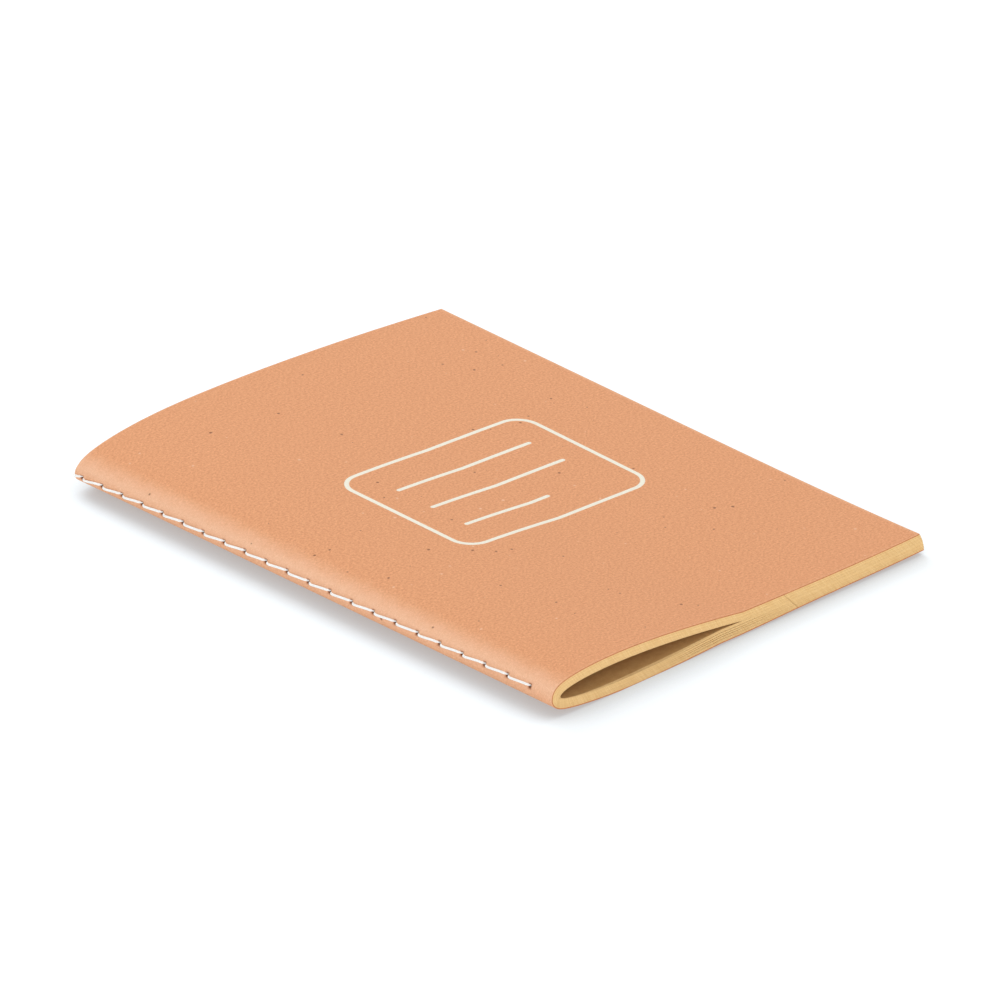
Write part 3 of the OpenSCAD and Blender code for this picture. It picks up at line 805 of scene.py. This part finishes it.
# %% Layer object
def layer_object(name, number, face_mat, rim_mat, back, front_body, slot, replaced, dent, **shape):
    W, Y, MARK, arc, skin, edges = layer_grid(number, **shape)
    points, faces, kinds = shell(number, W, Y, MARK, skin, edges, dent)
    mesh = bpy.data.meshes.new(name)
    mesh.from_pydata(points.tolist(), [], faces)
    mesh.materials.append(face_mat)
    mesh.materials.append(rim_mat)
    mesh.polygons.foreach_set("material_index", (kinds >= END_RIM).astype(np.int32))
    mesh.polygons.foreach_set("use_smooth", np.ones(len(faces), bool))
    corner, totals = np.zeros(len(mesh.loops), np.int32), np.zeros(len(faces), np.int32)
    mesh.loops.foreach_get("vertex_index", corner)
    mesh.polygons.foreach_get("loop_total", totals)
    flat_mm = flat_measures(number, W, Y, arc, np.repeat(kinds, totals), corner % len(W), corner < len(W))
    uv = mesh.uv_layers.new(name="flat_mm")
    uv.data.foreach_set("uv", flat_mm.astype(np.float32).ravel())
    marks = mesh.attributes.new("needle_mark", "FLOAT", "POINT")
    marks.data.foreach_set("value", np.tile(MARK, 2).astype(np.float32))
    mesh.set_sharp_from_angle(angle=math.radians(40))
    mesh.validate()
    made = bpy.data.objects.new(name, mesh)
    scene.collection.objects.link(made)
    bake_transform(made, back, front_body, start=(AXIS_X * MM, 0, 0), end=(AXIS_X * MM, 0, 0.01))
    share = opening_share(W, Y)
    share += (0.5 - share) * MARK
    mesh.attributes["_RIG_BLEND"].data.foreach_set("value", np.tile(share, 2).astype(np.float32))
    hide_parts(*replaced)
    return made


cover = layer_object(
    "cover", 0, card_mat, edge_mat, "back_cover", "front_cover", "cover",
    ["front_cover", "cover_spine", "back_cover"], steps=4, patch=0.9, between=3, count=12,
    hole_size=(0.5, 0.36), rings=[0.72, 0.48, 0.25, 0.1, 0.0], dent=0.16, seed=3)
print("cover:", len(cover.data.vertices), "points,", len(cover.data.polygons), "faces")

# %% [markdown]
# ## The twenty sheets
# Every sheet is cut from the same recipe with its own seed, so no two edges line up
# perfectly. The sheets share the cover's sewing line, and the holes pass through all of them.

# %% Sheets
sheets = []
for number in range(1, SHEETS + 1):
    tag = f"{number:02d}"
    sheets.append(layer_object(
        "sheet_" + tag, number, page_mat, leaf_mat, "back_leaf_" + tag, "front_leaf_" + tag, "pages",
        ["back_leaf_" + tag, "front_leaf_" + tag] + (["sheet_folds"] if number == 1 else []),
        steps=2, patch=0.62, between=0, count=8, hole_size=(0.36, 0.5), rings=[0.0], dent=0.0,
        seed=100 + number))
print(len(sheets), "sheets,", sum(len(s.data.polygons) for s in sheets), "faces in all")

# %% [markdown]
# ## The two threads
# A lockstitch has one thread outside and one inside the fold, which turn round each other
# inside every hole. A curve with a round bevel would be a plain wire; here a three-lobed
# section is swept along the path and turned as it goes, so the plies twist like real thread.

# %% Path of a thread
THREAD = 0.54


def path_point(k, out, sideways, y):
    """A point at hole k: height out of the middle line, offset round the fold, and y."""
    w, yy = np.array([hole_w[k]]), np.array([y])
    root, top = placed(w, np.array([0.0]), yy)[0], placed(w, np.array([1.0]), yy)[0]
    outward = (top - root) / np.linalg.norm(top - root)
    along = np.array([-outward[2], 0, outward[0]]) * -1
    p = root + out * outward + sideways * along
    return np.array([p[0], y, p[2]])


def stitch_path(out, mouth, deep, turn_at):
    points = [path_point(0, out, 0.05, HALF_Y - 0.05)]
    inwards = 1 if out > mouth else -1
    dips = lambda k, way: [
        (out, 0.17, 1.35), (out - 0.05 * inwards, 0.16, 1.0), (out - 0.26 * inwards, 0.14, 0.74),
        (out - 0.52 * inwards, 0.13, 0.5), (mouth, 0.12, 0.34), (deep, 0.10, 0.27)]
    for k in range(HOLES):
        going = [path_point(k, o, a, hole_y[k] + b) for o, a, b in dips(k, 1)]
        coming = [path_point(k, o, -a, hole_y[k] - b) for o, a, b in dips(k, -1)]
        points += going + [path_point(k, turn_at, 0, hole_y[k])]
        if k < HOLES - 1:
            points += coming[::-1]
    return np.array(points)


cover_top = float(faces_of(0, np.array([0.0]))[1][0])
outer_path = stitch_path(cover_top + 0.01 + THREAD / 2, cover_top - 0.6, 1.45, 1.25)
inner_path = stitch_path(-0.45, 0.25, 1.25 - THREAD - 0.22, 1.25 - THREAD)
print("thread outside passes", len(outer_path), "points, inside", len(inner_path))

# %% Twisted thread along a path
def smooth_path(points, spacing):
    """Catmull-Rom curve through the points, resampled at even steps."""
    p = np.vstack([2 * points[0] - points[1], points, 2 * points[-1] - points[-2]])
    fine = []
    for a, b, c, d in zip(p, p[1:], p[2:], p[3:]):
        knots = [0.0]
        for m, n in ((a, b), (b, c), (c, d)):
            knots.append(knots[-1] + max(np.linalg.norm(n - m), 1e-6) ** 0.5)
        t0, t1, t2, t3 = knots
        for t in np.linspace(t1, t2, 9)[:-1]:
            a1 = (t1 - t) / (t1 - t0) * a + (t - t0) / (t1 - t0) * b
            a2 = (t2 - t) / (t2 - t1) * b + (t - t1) / (t2 - t1) * c
            a3 = (t3 - t) / (t3 - t2) * c + (t - t2) / (t3 - t2) * d
            b1 = (t2 - t) / (t2 - t0) * a1 + (t - t0) / (t2 - t0) * a2
            b2 = (t3 - t) / (t3 - t1) * a2 + (t - t1) / (t3 - t1) * a3
            fine.append((t2 - t) / (t2 - t1) * b1 + (t - t1) / (t2 - t1) * b2)
    fine = np.array(fine + [points[-1]])
    length = np.concatenate([[0], np.cumsum(np.linalg.norm(np.diff(fine, axis=0), axis=1))])
    even = np.linspace(0, length[-1], int(length[-1] / spacing))
    return np.stack([np.interp(even, length, fine[:, i]) for i in range(3)], -1), even


def twisted_thread(name, path, pitch=1.5, sides=15):
    centre, length = smooth_path(path, 0.12)
    tangent = np.gradient(centre, axis=0)
    tangent /= np.linalg.norm(tangent, axis=1)[:, None]
    normal = np.cross(tangent[0], [1.0, 0, 0.3])
    verts, uvs = [], []
    for c, t, s in zip(centre, tangent, length):
        normal = normal - t * (normal @ t)
        normal /= np.linalg.norm(normal)
        side = np.cross(t, normal)
        for j in range(sides + 1):
            angle = 2 * math.pi * j / sides
            lobe = abs(math.cos(1.5 * (angle + 2 * math.pi * s / pitch)))
            radius = THREAD / 2 * (0.74 + 0.26 * lobe ** 0.7)
            if j < sides:
                verts.append((c + radius * (math.cos(angle) * normal + math.sin(angle) * side)) * MM)
            uvs.append((angle * THREAD / 2, s))
    faces, corners = [], []
    for i in range(len(centre) - 1):
        for j in range(sides):
            a, b = i * sides + j, i * sides + (j + 1) % sides
            faces.append((a, b, b + sides, a + sides))
            m = i * (sides + 1) + j
            corners += [m, m + 1, m + sides + 2, m + sides + 1]
    ends = [list(range(sides))[::-1], [(len(centre) - 1) * sides + j for j in range(sides)]]
    corners += list(range(sides))[::-1] + [(len(centre) - 1) * (sides + 1) + j for j in range(sides)]
    mesh = bpy.data.meshes.new(name)
    mesh.from_pydata([tuple(v) for v in verts], [], faces + ends)
    mesh.polygons.foreach_set("use_smooth", np.ones(len(mesh.polygons), bool))
    uv = mesh.uv_layers.new(name="flat_mm")
    uv.data.foreach_set("uv", np.array([uvs[m] for m in corners], np.float32).ravel())
    mesh.materials.append(thread_mat)
    made = bpy.data.objects.new(name, mesh)
    scene.collection.objects.link(made)
    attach(made, "spine")
    return made


outside_thread = twisted_thread("outside_thread", outer_path)
inside_thread = twisted_thread("inside_thread", inner_path)
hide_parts("needle_thread")
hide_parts("bobbin_thread")
print("threads:", len(outside_thread.data.polygons), "and", len(inside_thread.data.polygons), "faces")
